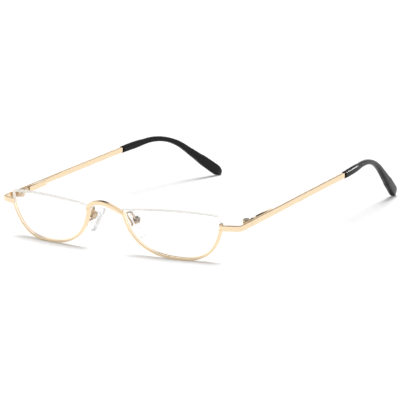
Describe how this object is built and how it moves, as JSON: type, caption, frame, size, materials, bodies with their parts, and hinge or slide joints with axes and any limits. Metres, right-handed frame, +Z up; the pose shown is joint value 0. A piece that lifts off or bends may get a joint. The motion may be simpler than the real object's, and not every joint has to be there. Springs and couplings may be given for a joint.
{
  "type": "half eye reading glasses",
  "caption": "Half eye reading glasses: half rims under flat topped lenses, saddle bridge, adjustable nose pads, sprung folding temples with black tips.",
  "frame": {"origin": "bottom centre of the bounding box, on the table the open glasses stand on", "axes": "+Z up, -Y where the wearer looks, +X to the wearer's left, X = 0 the plane of symmetry"},
  "size_m": [0.1298, 0.1568, 0.0252],
  "materials": {
    "gold_metal": "polished pale gold plating",
    "steel": "bright turned",
    "clear_lens": "clear polished",
    "nylon_line": "clear",
    "clear_pad": "clear soft",
    "pad_core": "frosted",
    "black_tip": "polished black"
  },
  "bodies": {
    "front": {"bridge": "gold_metal", "left_half_rim": "gold_metal", "left_lens": "clear_lens", "left_lens_line": "nylon_line", "left_line_anchor": "gold_metal", "left_end_piece": "gold_metal", "left_pad_arm": "gold_metal", "left_pad_box": "gold_metal", "left_pad_screw": "steel", "left_hinge_knuckles": "gold_metal", "left_hinge_screw": "steel", "right_half_rim": "gold_metal", "right_lens": "clear_lens", "right_lens_line": "nylon_line", "right_line_anchor": "gold_metal", "right_end_piece": "gold_metal", "right_pad_arm": "gold_metal", "right_pad_box": "gold_metal", "right_pad_screw": "steel", "right_hinge_knuckles": "gold_metal", "right_hinge_screw": "steel"},
    "left_bushing": {"left_hinge_bushing": "steel"},
    "left_slider": {"left_hinge_slider": "gold_metal", "left_slider_nut": "steel"},
    "left_temple": {"left_temple_bar": "gold_metal", "left_spring_housing": "gold_metal", "left_spring_stop": "steel", "left_coil_spring": "steel", "left_temple_tip": "black_tip"},
    "left_pad": {"left_nose_pad": "clear_pad", "left_pad_insert": "pad_core"},
    "right_bushing": {"right_hinge_bushing": "steel"},
    "right_slider": {"right_hinge_slider": "gold_metal", "right_slider_nut": "steel"},
    "right_temple": {"right_temple_bar": "gold_metal", "right_spring_housing": "gold_metal", "right_spring_stop": "steel", "right_coil_spring": "steel", "right_temple_tip": "black_tip"},
    "right_pad": {"right_nose_pad": "clear_pad", "right_pad_insert": "pad_core"}
  },
  "joints": [
    {"name": "left_fold", "type": "hinge", "parent": "front", "child": "left_bushing", "pos_m": [0.06162, -0.05736, 0.01642], "axis": [0.0026, -0.0818, 0.9966], "range_deg": [0, 90]},
    {"name": "left_flex", "type": "hinge", "parent": "left_bushing", "child": "left_slider", "pos_m": [0.06162, -0.05736, 0.01642], "axis": [0.0026, -0.0818, 0.9966], "range_deg": [-10, 0], "stiffness_Nm_per_rad": 0.2},
    {"name": "left_spring_slide", "type": "slide", "parent": "left_slider", "child": "left_temple", "axis": [-0.0295, 0.9962, 0.0819], "range_m": [0, 0.0008], "deforming": ["left_coil_spring"]},
    {"name": "left_pad_rock", "type": "hinge", "parent": "front", "child": "left_pad", "pos_m": [0.0117, -0.06836, 0.01438], "axis": [0.693, 0.6631, 0.2829], "range_deg": [-8, 8]},
    {"name": "right_fold", "type": "hinge", "parent": "front", "child": "right_bushing", "pos_m": [-0.06162, -0.05736, 0.01642], "axis": [0.0026, 0.0818, -0.9966], "range_deg": [0, 82]},
    {"name": "right_flex", "type": "hinge", "parent": "right_bushing", "child": "right_slider", "pos_m": [-0.06162, -0.05736, 0.01642], "axis": [0.0026, 0.0818, -0.9966], "range_deg": [-10, 0], "stiffness_Nm_per_rad": 0.2},
    {"name": "right_spring_slide", "type": "slide", "parent": "right_slider", "child": "right_temple", "axis": [0.0295, 0.9962, 0.0819], "range_m": [0, 0.0008], "deforming": ["right_coil_spring"]},
    {"name": "right_pad_rock", "type": "hinge", "parent": "front", "child": "right_pad", "pos_m": [-0.0117, -0.06836, 0.01438], "axis": [-0.693, 0.6631, 0.2829], "range_deg": [-8, 8]}
  ],
  "couplings": [
    {"joint": "left_spring_slide", "follows": "left_flex", "m_per_rad": -0.0045837},
    {"joint": "right_spring_slide", "follows": "right_flex", "m_per_rad": -0.0045837}
  ]
}
